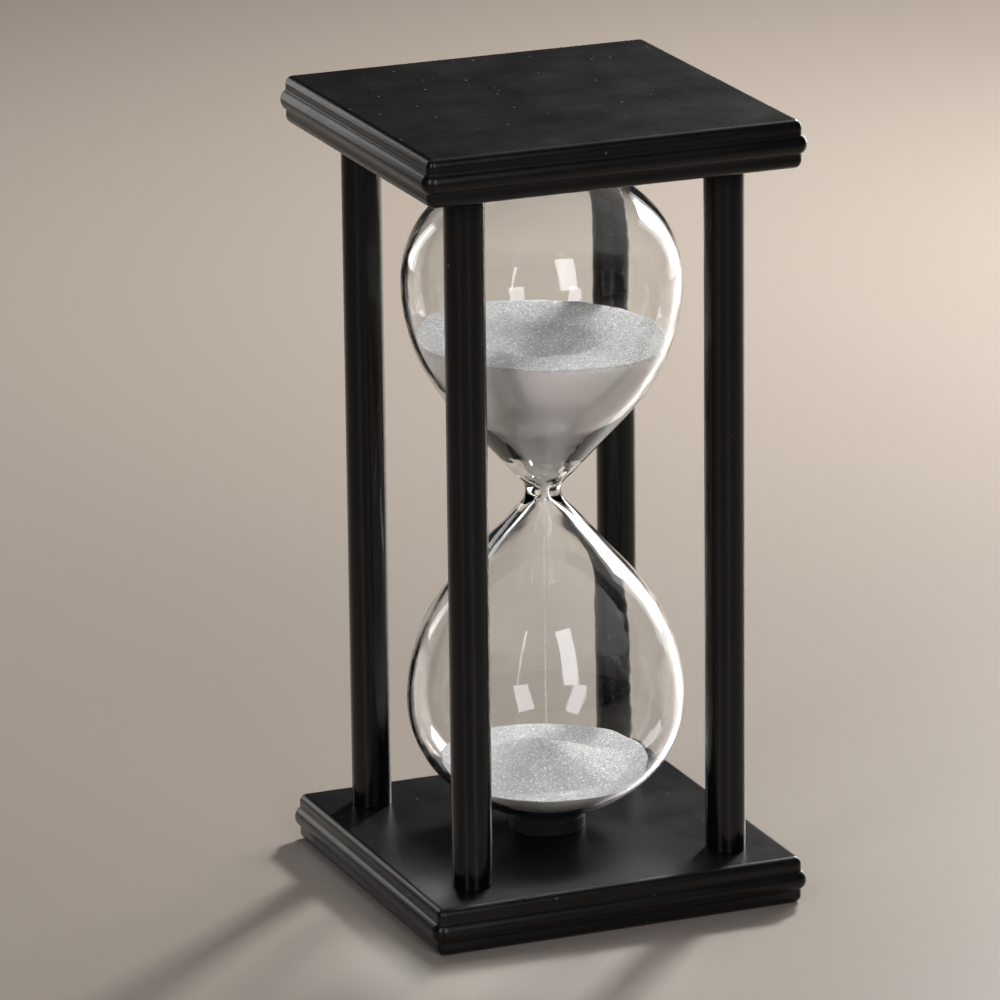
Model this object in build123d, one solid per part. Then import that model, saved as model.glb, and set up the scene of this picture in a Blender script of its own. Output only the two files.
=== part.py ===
"""Sixty-minute sand timer: two square moulded plates, four round posts, a blown glass vial and its sand.

Millimetres, +Z up, origin on the axis of the vial at the underside of the base plate.
"""
from build123d import *
from math import acos, asin, atan2, cos, hypot, pi, sin, sqrt
import os

# ---- driving dimensions ----------------------------------------------------------------------
PLATE_X = 100.0          # plate over the bead, left to right
PLATE_Y = 100.0          # plate over the bead, front to back
OVERALL_H = 200.0        # table to upper face
PLATE_T = 12.0           # board thickness
CORNER_R = 3.2           # sanded corner, at the bead
POST_D = 10.0            # round posts
POST_INSET = 16.0        # post centre in from the bead
TENON_D = 6.0            # spigot turned on each end of a post
TENON_L = 7.0
BULB_R = 35.0            # widest outer radius of each bulb
NECK_R = 4.5             # outer radius at the waist
WALL = 1.4               # glass wall of the bulbs
ORIFICE_R = 0.8          # hole that meters the sand
SEAT_D = 19.2            # round seats that hold the ends of the vial
SEAT_H = 4.4
SAND_TOP_H = 40.0        # rim of the upper sand above the waist
SAND_LOW_H = 71.6        # rim of the lower sand below the waist

# ---- fits -------------------------------------------------------------------------------------
TENON_FIT = 0.1          # hole wider than the spigot
TENON_END = 0.5          # glue room under the spigot
SAND_FIT = 0.06          # sand to glass
PAD_FIT = 0.05           # pad to the recess of its seat

# ---- worked out from them ----------------------------------------------------------------------
MID = OVERALL_H / 2
INNER_LOW = PLATE_T                      # upper face of the base plate
INNER_TOP = OVERALL_H - PLATE_T          # underside of the top plate
POST_X = PLATE_X / 2 - POST_INSET
POST_Y = PLATE_Y / 2 - POST_INSET
SEAT_FLOOR = 1.5                         # seat material left under the pad
PAD_R = SEAT_D / 2 * 0.58
END_GAP = SEAT_H * 0.84                  # plate to the end of the vial
BULB_END = MID - PLATE_T - END_GAP       # end of a bulb from the waist
BELLY_H = BULB_END * 0.645               # height of the widest place from the waist
BELLY_R = BULB_R * 1.4                   # long arc from the cone to the widest place
SHOULDER_R = BULB_R * 0.74               # shoulder arc beyond the widest place
NECK_FILLET = NECK_R * 0.9               # hollow outside the waist
BORE_FILLET = ORIFICE_R * 7.5             # hollow inside the waist
FILL_R = 3.5                             # filling hole in the upper end
CAP_FLANGE_R = 4.7
CAP_FLANGE_T = 1.2


def tangent_cone(neck_r, fillet, belly_c, belly_h, belly_r):
    """Points where the straight cone leaves the waist fillet and meets the long belly arc."""
    c1, c2 = (neck_r + fillet, 0.0), (belly_c, belly_h)
    dx, dz = c2[0] - c1[0], c2[1] - c1[1]
    span = hypot(dx, dz)
    angle = atan2(dz, dx) - asin((fillet + belly_r) / span)
    nx, nz = -sin(angle), cos(angle)
    return (c1[0] + nx * fillet, nz * fillet), (c2[0] - nx * belly_r, c2[1] - nz * belly_r)


def on_arc(centre, radius, angle):
    """A point on a circle, the angle measured from +R towards +Z."""
    return centre[0] + radius * cos(angle), centre[1] + radius * sin(angle)


class Bulb:
    """Half of one vial surface in (radius, height from the waist): waist, cone, belly, shoulder, end."""

    def __init__(self, neck_r, fillet, inset):
        self.inset = inset
        self.neck_r, self.fillet = neck_r, fillet
        self.belly_r = BELLY_R - inset
        self.belly_c = (BULB_R - BELLY_R, BELLY_H)
        self.shoulder_r = SHOULDER_R - inset
        self.shoulder_c = (BULB_R - SHOULDER_R, BELLY_H)
        drop = BULB_END - BELLY_H
        end_r = ((BULB_R - SHOULDER_R) ** 2 + drop ** 2 - SHOULDER_R ** 2) / (2 * (drop - SHOULDER_R))
        self.end_r = end_r - inset
        self.end_c = (0.0, BULB_END - end_r)
        self.cone_low, self.cone_top = tangent_cone(
            neck_r, fillet, self.belly_c[0], self.belly_c[1], self.belly_r)
        self.join = atan2(self.shoulder_c[1] - self.end_c[1], self.shoulder_c[0])

    @property
    def end(self):
        """Height of the end of the surface on the axis."""
        return self.end_c[1] + self.end_r

    def radius_at(self, h):
        """Radius of the surface at a height."""
        if h > on_arc(self.end_c, self.end_r, self.join)[1]:
            return sqrt(max(self.end_r ** 2 - (h - self.end_c[1]) ** 2, 0.0))
        if h >= BELLY_H:
            return self.shoulder_c[0] + sqrt(self.shoulder_r ** 2 - (h - BELLY_H) ** 2)
        if h >= self.cone_top[1]:
            return self.belly_c[0] + sqrt(self.belly_r ** 2 - (h - BELLY_H) ** 2)
        if h >= self.cone_low[1]:
            t = (h - self.cone_low[1]) / (self.cone_top[1] - self.cone_low[1])
            return self.cone_low[0] + t * (self.cone_top[0] - self.cone_low[0])
        return self.neck_r + self.fillet - sqrt(self.fillet ** 2 - h ** 2)

    def height_at_end(self, r):
        """Height of the end arc at a radius."""
        return self.end_c[1] + sqrt(self.end_r ** 2 - r ** 2)

    def nodes(self, stop_r=0.0, stop_h=None):
        """Points of the surface from the waist out, as (kind, middle, end); it stops at a radius or height."""
        start = (self.neck_r, 0.0)
        half = 0.5 * (pi + atan2(self.cone_low[1], self.cone_low[0] - self.neck_r - self.fillet))
        steps = [("arc", on_arc((self.neck_r + self.fillet, 0.0), self.fillet, half), self.cone_low),
                 ("line", None, self.cone_top)]
        a0 = atan2(self.cone_top[1] - BELLY_H, self.cone_top[0] - self.belly_c[0])
        if stop_h is not None and stop_h < BELLY_H:
            a1 = asin((stop_h - BELLY_H) / self.belly_r)
            steps.append(("arc", on_arc(self.belly_c, self.belly_r, (a0 + a1) / 2),
                          on_arc(self.belly_c, self.belly_r, a1)))
            return start, steps
        steps.append(("arc", on_arc(self.belly_c, self.belly_r, a0 / 2), on_arc(self.belly_c, self.belly_r, 0)))
        steps.append(("arc", on_arc(self.shoulder_c, self.shoulder_r, self.join / 2),
                      on_arc(self.shoulder_c, self.shoulder_r, self.join)))
        a2 = pi / 2 if stop_r <= 0 else acos(stop_r / self.end_r)
        steps.append(("arc", on_arc(self.end_c, self.end_r, (self.join + a2) / 2),
                      on_arc(self.end_c, self.end_r, a2)))
        return start, steps


OUTER = Bulb(NECK_R, NECK_FILLET, 0.0)
INNER = Bulb(ORIFICE_R, BORE_FILLET, WALL)
SANDY = Bulb(max(ORIFICE_R - SAND_FIT, 0.3), BORE_FILLET, WALL + SAND_FIT)


def chain(start, steps, sign=1.0, reverse=False):
    """Edges of a half surface in the XZ plane; sign -1 mirrors it below the waist."""
    def at(p):
        return Vector(p[0], 0, MID + sign * p[1])
    edges, here = [], start
    for kind, middle, end in steps:
        edges.append(Edge.make_three_point_arc(at(here), at(middle), at(end)) if kind == "arc"
                     else Edge.make_line(at(here), at(end)))
        here = end
    return edges[::-1] if reverse else edges


def turned(edges):
    """A solid of revolution about the axis from a closed run of edges."""
    return revolve(make_face(edges), Axis.Z, 360)


def line(r0, z0, r1, z1):
    """A straight edge in the XZ plane."""
    return Edge.make_line(Vector(r0, 0, z0), Vector(r1, 0, z1))


def arc(a, b, c):
    """An arc in the XZ plane through three (radius, height) points."""
    return Edge.make_three_point_arc(*[Vector(p[0], 0, p[1]) for p in (a, b, c)])


# ---- frame ------------------------------------------------------------------------------------
def edge_profile(reach):
    """Moulded edge of a plate from a flat inner limit: ovolo, bead, ovolo; the bead ends at reach."""
    t = PLATE_T
    flat, quirk, step = reach - 2.9, reach - 1.35, reach - 1.1
    ov, bead = 0.2 * t, 0.19 * t
    mid = t / 2
    top = [arc((flat, t), (flat + 1.05, t - 0.62), (quirk, t - ov)),
           line(quirk, t - ov, quirk, mid + bead + 0.15),
           line(quirk, mid + bead + 0.15, step, mid + bead)]
    low = [line(step, mid - bead, quirk, mid - bead - 0.15),
           line(quirk, mid - bead - 0.15, quirk, ov),
           arc((quirk, ov), (flat + 1.05, 0.62), (flat, 0))]
    return top + [arc((step, mid + bead), (reach, mid), (step, mid - bead))] + low + [
        line(flat, 0, 0, 0), line(0, 0, 0, t), line(0, t, flat, t)]


def moulded_plate():
    """A plate whose edge moulding runs along four sides and turns round the sanded corners."""
    kx, ky = PLATE_X / 2 - CORNER_R, PLATE_Y / 2 - CORNER_R
    corner = revolve(make_face(edge_profile(CORNER_R)), Axis.Z, 360)
    body = None
    for sx in (-1, 1):
        for sy in (-1, 1):
            piece = Pos(sx * kx, sy * ky, 0) * corner
            body = piece if body is None else body + piece
    along_y = extrude(make_face(edge_profile(PLATE_X / 2)), ky, dir=(0, 1, 0), both=True)
    along_x = extrude(make_face(edge_profile(PLATE_Y / 2)), kx, dir=(0, 1, 0), both=True)
    body = body + along_y + Rot(0, 0, 180) * along_y
    body = body + Rot(0, 0, 90) * along_x + Rot(0, 0, -90) * along_x
    return body.clean()


def post_places():
    """Node name and centre of each post."""
    return {f"post_{fb}_{lr}": (sx * POST_X, sy * POST_Y)
            for fb, sy in (("front", -1), ("back", 1)) for lr, sx in (("left", -1), ("right", 1))}


def plate_with_sockets(open_up):
    """A plate with a blind round socket for each spigot, open upward or downward."""
    body = moulded_plate()
    depth = TENON_L + TENON_END
    z = PLATE_T - depth / 2 if open_up else depth / 2
    for x, y in post_places().values():
        body = body - Pos(x, y, z) * Cylinder((TENON_D + TENON_FIT) / 2, depth)
    return body


def base_plate():
    """The plate the timer stands on."""
    return plate_with_sockets(True)


def top_plate():
    """The same plate at the other end."""
    return Pos(0, 0, INNER_TOP) * plate_with_sockets(False)


def post(x, y):
    """A round post with a chamfered spigot on each end."""
    length = INNER_TOP - INNER_LOW
    spigot = chamfer(Cylinder(TENON_D / 2, length + 2 * TENON_L).edges(), 0.5)
    return Pos(x, y, MID) * (Cylinder(POST_D / 2, length) + spigot)


# ---- vial ---------------------------------------------------------------------------------------
def glass_vial():
    """Two blown bulbs in one piece of glass, thick at the waist, with the filling hole in the upper end."""
    o0, o_low = OUTER.nodes()
    _, o_top = OUTER.nodes(stop_r=FILL_R)
    i0, i_low = INNER.nodes()
    _, i_top = INNER.nodes(stop_r=FILL_R)
    edges = chain(o0, o_low, -1) + chain(o0, o_top, 1)
    edges += chain(i0, i_low, -1) + chain(i0, i_top, 1)
    edges.append(line(0, MID - OUTER.end, 0, MID - INNER.end))
    edges.append(line(FILL_R, MID + OUTER.height_at_end(FILL_R), FILL_R, MID + INNER.height_at_end(FILL_R)))
    return turned(edges)


def filling_stopper():
    """Plug that closes the filling hole, with a flange under the upper pad."""
    top = MID + BULB_END
    shaft_low = top - WALL - 1.6
    body = Pos(0, 0, (top + CAP_FLANGE_T + shaft_low) / 2) * Cylinder(FILL_R, top + CAP_FLANGE_T - shaft_low)
    body = chamfer(body.edges().sort_by(Axis.Z)[0], 0.4)
    flange = Pos(0, 0, top + CAP_FLANGE_T / 2 - 0.2) * Cylinder(CAP_FLANGE_R, CAP_FLANGE_T + 0.4)
    bulb = Pos(0, 0, MID + OUTER.end_c[1]) * Sphere(OUTER.end_r)
    return body + (flange - bulb)


# ---- seats ---------------------------------------------------------------------------------------
def seat():
    """Round seat, standing on z = 0: dished for the bulb, with a recess for the pad."""
    body = Pos(0, 0, SEAT_H / 2) * Cylinder(SEAT_D / 2, SEAT_H)
    body = fillet(body.edges().sort_by(Axis.Z)[-1], 0.5)
    body -= Pos(0, 0, SEAT_FLOOR + SEAT_H / 2) * Cylinder(PAD_R, SEAT_H)
    return body - Pos(0, 0, END_GAP + OUTER.end_r) * Sphere(OUTER.end_r)


def lower_seat():
    """Seat glued on the base plate."""
    return Pos(0, 0, INNER_LOW) * seat()


def upper_seat():
    """Seat glued under the top plate."""
    return Pos(0, 0, INNER_TOP) * Rot(180, 0, 0) * seat()


def lower_pad():
    """Soft pad in the lower seat, pressed to the shape of the bulb."""
    h = SEAT_H - SEAT_FLOOR
    body = Pos(0, 0, INNER_LOW + SEAT_FLOOR + h / 2) * Cylinder(PAD_R - PAD_FIT, h)
    return body - Pos(0, 0, INNER_LOW + END_GAP + OUTER.end_r) * Sphere(OUTER.end_r)


def upper_pad():
    """Soft pad in the upper seat, over the flange of the stopper."""
    h = END_GAP - SEAT_FLOOR - CAP_FLANGE_T
    return Pos(0, 0, INNER_TOP - SEAT_FLOOR - h / 2) * Cylinder(PAD_R - PAD_FIT, h)


# ---- sand ----------------------------------------------------------------------------------------
CRATER_R = 15.2          # funnel worn into the upper sand
CRATER_D = 7.2
DISH_D = 1.2             # fall from the rim to the lip of the funnel
MOUND_R = 19.5           # heap under the stream
MOUND_H = 5.3            # crown above the rim
VALLEY_D = 1.2           # ring valley between heap and rim


def upper_sand():
    """Sand above the waist: the glass outline up to a dished surface with a funnel in the middle."""
    start, steps = SANDY.nodes(stop_h=SAND_TOP_H)
    rim = steps[-1][2]
    dish = (CRATER_R, SAND_TOP_H - DISH_D)
    pit = (0.0, SAND_TOP_H - DISH_D - CRATER_D)
    edges = chain(start, steps, 1)
    edges += [line(rim[0], MID + rim[1], dish[0], MID + dish[1]),
              line(dish[0], MID + dish[1], pit[0], MID + pit[1]),
              line(0, MID + pit[1], 0, MID), line(0, MID, start[0], MID)]
    return turned(edges)


def lower_sand():
    """Sand below the waist: a shallow ring valley round the heap the stream builds."""
    rim_r = SANDY.radius_at(SAND_LOW_H)
    join = SANDY.join
    z0 = MID - SAND_LOW_H
    a0 = asin((SAND_LOW_H - SANDY.shoulder_c[1]) / SANDY.shoulder_r)
    wall, from_a = [], asin(min((SAND_LOW_H - SANDY.end_c[1]) / SANDY.end_r, 1.0))
    if a0 < join:
        wall.append(arc(*[(p[0], MID - p[1]) for p in (
            on_arc(SANDY.shoulder_c, SANDY.shoulder_r, a0),
            on_arc(SANDY.shoulder_c, SANDY.shoulder_r, (a0 + join) / 2),
            on_arc(SANDY.end_c, SANDY.end_r, join))]))
        from_a = join
    first = on_arc(SANDY.end_c, SANDY.end_r, from_a)
    wall.append(arc(*[(p[0], MID - p[1]) for p in (
        first, on_arc(SANDY.end_c, SANDY.end_r, (from_a + pi / 2) / 2), (0.0, SANDY.end))]))
    foot, crown = (min(MOUND_R, rim_r * 0.9), z0 - VALLEY_D), (0.0, z0 + MOUND_H)
    surface = [line(rim_r, z0, *foot), line(*foot, *crown)]
    return turned(wall + surface + [line(0, crown[1], 0, MID - SANDY.end)])


def falling_sand():
    """Thin stream from the orifice to the crown of the heap."""
    low, top = MID - SAND_LOW_H + MOUND_H, MID
    body = Pos(0, 0, (low + top) / 2) * Cone(0.5, ORIFICE_R * 0.7, top - low)
    return body


def build():
    """Write every node as its own STEP file."""
    os.makedirs("parts", exist_ok=True)
    nodes = {"base_plate": base_plate(), "top_plate": top_plate()}
    for name, (x, y) in post_places().items():
        nodes[name] = post(x, y)
    for make in (glass_vial, filling_stopper, lower_seat, upper_seat, lower_pad, upper_pad,
                 upper_sand, lower_sand, falling_sand):
        nodes[make.__name__] = make()
    for name, shape in nodes.items():
        export_step(shape, f"parts/{name}.step")
        box = shape.bounding_box()
        print(f"{name:18s} {shape.volume:10.1f} mm3  z {box.min.Z:7.2f} {box.max.Z:7.2f}  r {box.max.X:6.2f}")


build()
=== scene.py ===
import logging
import math
from dataclasses import dataclass, field
from enum import Enum
from typing import Callable, Optional, Sequence, Union

import bpy
import numpy as np
from mathutils import Matrix, Vector, noise


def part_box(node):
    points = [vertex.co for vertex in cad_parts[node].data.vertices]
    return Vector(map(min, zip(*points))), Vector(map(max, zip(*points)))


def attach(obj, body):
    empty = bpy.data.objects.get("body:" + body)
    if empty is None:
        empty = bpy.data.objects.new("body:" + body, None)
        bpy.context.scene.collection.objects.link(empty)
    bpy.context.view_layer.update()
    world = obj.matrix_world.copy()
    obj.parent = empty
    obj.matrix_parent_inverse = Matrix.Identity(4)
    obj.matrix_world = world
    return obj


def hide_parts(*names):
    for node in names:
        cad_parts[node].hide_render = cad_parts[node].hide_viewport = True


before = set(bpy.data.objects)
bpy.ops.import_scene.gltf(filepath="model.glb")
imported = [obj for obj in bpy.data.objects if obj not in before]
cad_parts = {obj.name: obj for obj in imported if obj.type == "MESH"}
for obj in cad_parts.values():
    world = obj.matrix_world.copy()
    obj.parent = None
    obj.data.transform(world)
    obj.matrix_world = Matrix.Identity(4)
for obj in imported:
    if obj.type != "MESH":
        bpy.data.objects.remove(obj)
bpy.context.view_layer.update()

LOG = logging.getLogger("sand_timer")
MM = 0.001
Point2 = tuple[float, float]
Wobble = Callable[[np.ndarray, np.ndarray, np.ndarray], tuple[np.ndarray, np.ndarray]]


class Body(Enum):
    """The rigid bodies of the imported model."""

    ROOT = "root"


class Slot(Enum):
    """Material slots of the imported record."""

    FRAME = "frame_paint"
    POST = "post_paint"
    GLASS = "glass"
    STOPPER = "stopper"
    SEAT = "seat"
    PAD = "pad"
    SAND = "sand"
    STREAM = "stream"


# ---- curves -----------------------------------------------------------------------------------
def on_arc(centre: Point2, radius: float, angle: float) -> Point2:
    """A point on a circle, the angle measured from +R towards +Z."""
    return centre[0] + radius * math.cos(angle), centre[1] + radius * math.sin(angle)


def arc_run(centre: Point2, radius: float, a0: float, a1: float, count: int) -> list[Point2]:
    """Evenly spaced points along an arc.

    Args:
        centre: Centre of the circle, in (radius, height).
        radius: Radius of the circle.
        a0: First angle, in radians.
        a1: Last angle, in radians.
        count: Number of points.

    Returns:
        The points, both ends included.
    """
    return [on_arc(centre, radius, a0 + (a1 - a0) * i / (count - 1)) for i in range(count)]


def three_point_run(a: Point2, b: Point2, c: Point2, count: int) -> list[Point2]:
    """Points along the circle through three points.

    Args:
        a: First point.
        b: A point between.
        c: Last point.
        count: Number of points.

    Returns:
        The points from a to c.
    """
    ax, ay = a
    bx, by = b
    cx, cy = c
    d = 2 * (ax * (by - cy) + bx * (cy - ay) + cx * (ay - by))
    ux = ((ax * ax + ay * ay) * (by - cy) + (bx * bx + by * by) * (cy - ay)
          + (cx * cx + cy * cy) * (ay - by)) / d
    uy = ((ax * ax + ay * ay) * (cx - bx) + (bx * bx + by * by) * (ax - cx)
          + (cx * cx + cy * cy) * (bx - ax)) / d
    radius = math.hypot(ax - ux, ay - uy)
    a0, am, a1 = (math.atan2(p[1] - uy, p[0] - ux) for p in (a, b, c))
    am = a0 + (am - a0 + math.pi) % (2 * math.pi) - math.pi
    a1 = am + (a1 - am + math.pi) % (2 * math.pi) - math.pi
    return arc_run((ux, uy), radius, a0, a1, count)


def softened(points: Sequence[Point2], radius: float, steps: int = 3, least: float = 24.0) -> list[Point2]:
    """Rounds the sharp corners of an open outline with small quadratic bends.

    Args:
        points: The outline.
        radius: How far from a corner the bend starts.
        steps: Points along each bend, less one.
        least: Corners that turn less than this many degrees stay.

    Returns:
        The rounded outline.
    """
    out = [points[0]]
    for before, here, after in zip(points, points[1:], points[2:]):
        u, v = Vector(before) - Vector(here), Vector(after) - Vector(here)
        turn = 180 - math.degrees(u.angle(v)) if u.length and v.length else 0.0
        if turn < least:
            out.append(here)
            continue
        p = Vector(here) + u.normalized() * min(radius, u.length * 0.45)
        q = Vector(here) + v.normalized() * min(radius, v.length * 0.45)
        for i in range(steps + 1):
            t = i / steps
            w = p * (1 - t) ** 2 + Vector(here) * 2 * t * (1 - t) + q * t * t
            out.append((w.x, w.y))
    return out + [points[-1]]


# ---- meshes -----------------------------------------------------------------------------------
def mesh_from(name: str, verts: np.ndarray, faces: Sequence[Sequence[int]],
              sharp: float = 35.0) -> bpy.types.Mesh:
    """A smooth-shaded mesh whose steep edges stay crisp.

    Args:
        name: Name of the mesh.
        verts: Vertex positions, one row each.
        faces: Vertex indices of each face, outward.
        sharp: Edges that turn more than this many degrees are sharp.

    Returns:
        The mesh.
    """
    mesh = bpy.data.meshes.new(name)
    mesh.from_pydata([tuple(v) for v in verts], [], [tuple(f) for f in faces])
    mesh.validate()
    mesh.shade_smooth()
    mesh.set_sharp_from_angle(angle=math.radians(sharp))
    return mesh


def lathe(name: str, outline: Sequence[Point2], segments: int, loop: bool = False,
          centre: Point2 = (0.0, 0.0), wobble: Optional[Wobble] = None,
          sharp: float = 35.0) -> bpy.types.Mesh:
    """A closed turned solid. The outline runs upward on the outside, so that faces point out.

    Args:
        name: Name of the mesh.
        outline: Points of (radius, height). A radius of nought at an end is a pole.
        segments: Number of steps round the axis.
        loop: Whether the outline closes on itself, as for a ring.
        centre: Place of the axis in X and Y.
        wobble: Shift of each point, given radius, height and angle arrays; gives new radius and height.
        sharp: Edges that turn more than this many degrees are sharp.

    Returns:
        The mesh.
    """
    turn = np.arange(segments) * 2 * math.pi / segments
    rows, starts = [], []
    total = 0
    for r, z in outline:
        starts.append(total)
        if r < 1e-9:
            rows.append(np.array([[centre[0], centre[1], z]]))
            total += 1
            continue
        radius, height = np.full(segments, r), np.full(segments, z)
        if wobble is not None:
            radius, height = wobble(radius, height, turn)
        rows.append(np.stack([centre[0] + radius * np.cos(turn), centre[1] + radius * np.sin(turn), height],
                             1))
        total += segments
    faces: list[tuple[int, ...]] = []
    pairs = list(zip(range(len(outline) - 1), range(1, len(outline))))
    if loop:
        pairs.append((len(outline) - 1, 0))
    for i, j in pairs:
        low_pole, top_pole = outline[i][0] < 1e-9, outline[j][0] < 1e-9
        if low_pole and top_pole:
            continue
        for k in range(segments):
            n = (k + 1) % segments
            a, b = starts[i] + k, starts[i] + n
            c, d = starts[j] + n, starts[j] + k
            if low_pole:
                faces.append((starts[i], c, d))
            elif top_pole:
                faces.append((a, b, starts[j]))
            else:
                faces.append((a, b, c, d))
    return mesh_from(name, np.concatenate(rows), faces, sharp)


def place_piece(name: str, mesh: bpy.types.Mesh, material: bpy.types.Material, slot: Slot,
                nodes: Sequence[str] = ()) -> bpy.types.Object:
    """Puts a finished mesh in the scene as a piece of the timer.

    Args:
        name: Name of the piece.
        mesh: Its mesh, in place.
        material: Its finish.
        slot: Slot of the record, named in the log line.
        nodes: CAD nodes that it stands for.

    Returns:
        The new object.
    """
    piece = bpy.data.objects.new(name, mesh)
    bpy.context.scene.collection.objects.link(piece)
    mesh.materials.clear()
    mesh.materials.append(material)
    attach(piece, Body.ROOT.value)
    if nodes:
        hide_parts(*nodes)
    LOG.info("%-24s %7d faces, slot %s", name, len(mesh.polygons), slot.value)
    return piece


def bumps(verts: np.ndarray, scale: float, seed: float, octaves: int = 3) -> np.ndarray:
    """Fractal noise about nought at each point.

    Args:
        verts: Positions, one row each.
        scale: Size of the largest lumps.
        seed: Offset that picks the pattern.
        octaves: Number of finer layers.

    Returns:
        One value for each row, roughly -1 to 1.
    """
    shift = Vector((seed, -seed * 0.7, seed * 1.3))
    return np.array([noise.fractal(Vector(v) / scale + shift, 0.6, 2.1, octaves) for v in verts])


# ---- node graphs --------------------------------------------------------------------------------
Value = Union[float, int, Sequence[float], bpy.types.NodeSocket, bpy.types.Object, bpy.types.Material]


class Graph:
    """Short calls for building a material, a group or a geometry tree."""

    def __init__(self, tree: bpy.types.NodeTree) -> None:
        """Starts on a tree.

        Args:
            tree: The node tree to build in.
        """
        self.tree = tree
        self.column = 0

    def add(self, kind: str, inputs: Optional[dict[Union[str, int], Value]] = None,
            **props: object) -> bpy.types.Node:
        """Adds one node.

        Args:
            kind: Type name of the node.
            inputs: Socket name or index to a constant, or to an output socket to link.
            **props: Settings of the node.

        Returns:
            The node.
        """
        node = self.tree.nodes.new(kind)
        node.location = (self.column * 170, 0)
        self.column += 1
        for key, value in props.items():
            setattr(node, key, value)
        for key, value in (inputs or {}).items():
            socket = node.inputs[key]
            if isinstance(value, bpy.types.NodeSocket):
                self.tree.links.new(value, socket)
            else:
                socket.default_value = value
        return node

    def math(self, operation: str, *values: Value, clamp: bool = False) -> bpy.types.NodeSocket:
        """A Math node on the given values; gives its output."""
        inputs = dict(enumerate(values))
        return self.add("ShaderNodeMath", inputs, operation=operation, use_clamp=clamp).outputs[0]

    def span(self, value: Value, low: float, high: float, out_low: float,
             out_high: float) -> bpy.types.NodeSocket:
        """A clamped Map Range; gives its output."""
        return self.add("ShaderNodeMapRange", {0: value, 1: low, 2: high, 3: out_low, 4: out_high}).outputs[0]

    def mix(self, factor: Value, a: Value, b: Value) -> bpy.types.NodeSocket:
        """A colour mix; gives its output."""
        node = self.add("ShaderNodeMix", {0: factor, 6: a, 7: b}, data_type="RGBA")
        return node.outputs[2]

    def join(self, output: bpy.types.NodeSocket, target: bpy.types.NodeSocket) -> None:
        """Links two sockets."""
        self.tree.links.new(output, target)


class SurfaceEffects:
    """Shader groups that more than one finish uses, each built once."""

    def __init__(self) -> None:
        """Builds the three groups."""
        self.skin = self._lacquer_skin()
        self.specks = self._settled_specks()
        self.grains = self._sand_grains()

    @staticmethod
    def _new(name: str, ins: dict[str, tuple[str, float]],
             outs: Sequence[str]) -> tuple[Graph, bpy.types.Node]:
        """Starts a shader group with a Vector input and named values.

        Args:
            name: Name of the group.
            ins: Input name to socket type and default.
            outs: Names of the value outputs.

        Returns:
            The graph and its Group Input node.
        """
        tree = bpy.data.node_groups.new(name, "ShaderNodeTree")
        tree.interface.new_socket("Vector", in_out="INPUT", socket_type="NodeSocketVector")
        for key, (kind, default) in ins.items():
            tree.interface.new_socket(key, in_out="INPUT", socket_type=kind).default_value = default
        for key in outs:
            tree.interface.new_socket(key, in_out="OUTPUT", socket_type="NodeSocketFloat")
        graph = Graph(tree)
        return graph, graph.add("NodeGroupInput")

    def _lacquer_skin(self) -> bpy.types.NodeTree:
        """Orange peel and slow clouds of a sprayed finish."""
        g, i = self._new("lacquer_skin",
                         {"Peel": ("NodeSocketFloat", 900.0), "Cloud": ("NodeSocketFloat", 60.0)},
                         ("Height", "Cloudiness"))
        peel = g.add("ShaderNodeTexNoise", {"Vector": i.outputs[0], "Scale": i.outputs["Peel"], "Detail": 2.0,
                                            "Roughness": 0.55})
        cloud = g.add("ShaderNodeTexNoise",
                      {"Vector": i.outputs[0], "Scale": i.outputs["Cloud"], "Detail": 5.0,
                       "Roughness": 0.65})
        out = g.add("NodeGroupOutput")
        g.join(peel.outputs[0], out.inputs["Height"])
        g.join(g.span(cloud.outputs[0], 0.3, 0.7, 0.0, 1.0), out.inputs["Cloudiness"])
        return g.tree

    def _settled_specks(self) -> bpy.types.NodeTree:
        """Sparse small specks, such as dust, each of its own size."""
        g, i = self._new("settled_specks",
                         {"Scale": ("NodeSocketFloat", 400.0), "Share": ("NodeSocketFloat", 0.1)},
                         ("Mask",))
        cells = g.add("ShaderNodeTexVoronoi", {"Vector": i.outputs[0], "Scale": i.outputs["Scale"]})
        pick = g.add("ShaderNodeSeparateColor", {0: cells.outputs["Color"]})
        chosen = g.math("LESS_THAN", pick.outputs[0], i.outputs["Share"])
        size = g.span(pick.outputs[1], 0.0, 1.0, 0.06, 0.26)
        near = g.math("SUBTRACT", size, cells.outputs["Distance"])
        dot = g.span(near, 0.0, 0.08, 0.0, 1.0)
        out = g.add("NodeGroupOutput")
        g.join(g.math("MULTIPLY", dot, chosen), out.inputs["Mask"])
        return g.tree

    def _sand_grains(self) -> bpy.types.NodeTree:
        """Fine crystals: a tone for each grain, a mask of the few grains that get a painted glint, and a
        height.
        """
        g, i = self._new("sand_grains",
                         {"Scale": ("NodeSocketFloat", 3200.0), "Glints": ("NodeSocketFloat", 0.06)},
                         ("Tone", "Glint", "Height"))
        fine = g.add("ShaderNodeTexVoronoi", {"Vector": i.outputs[0], "Scale": i.outputs["Scale"]})
        pick = g.add("ShaderNodeSeparateColor", {0: fine.outputs["Color"]})
        out = g.add("NodeGroupOutput")
        g.join(pick.outputs[0], out.inputs["Tone"])
        # Glint: the cells that the sand finishes paint near-white, a painted glint.
        g.join(g.math("LESS_THAN", pick.outputs[1], i.outputs["Glints"]), out.inputs["Glint"])
        g.join(g.math("MULTIPLY", fine.outputs["Distance"], pick.outputs[2]), out.inputs["Height"])
        return g.tree


def fresh_material(name: str) -> tuple[Graph, bpy.types.Node]:
    """An empty node material with its output.

    Args:
        name: Name of the material.

    Returns:
        The graph and the Material Output node.
    """
    material = bpy.data.materials.new(name)
    material.use_nodes = True
    material.node_tree.nodes.clear()
    graph = Graph(material.node_tree)
    return graph, graph.add("ShaderNodeOutputMaterial")


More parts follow.
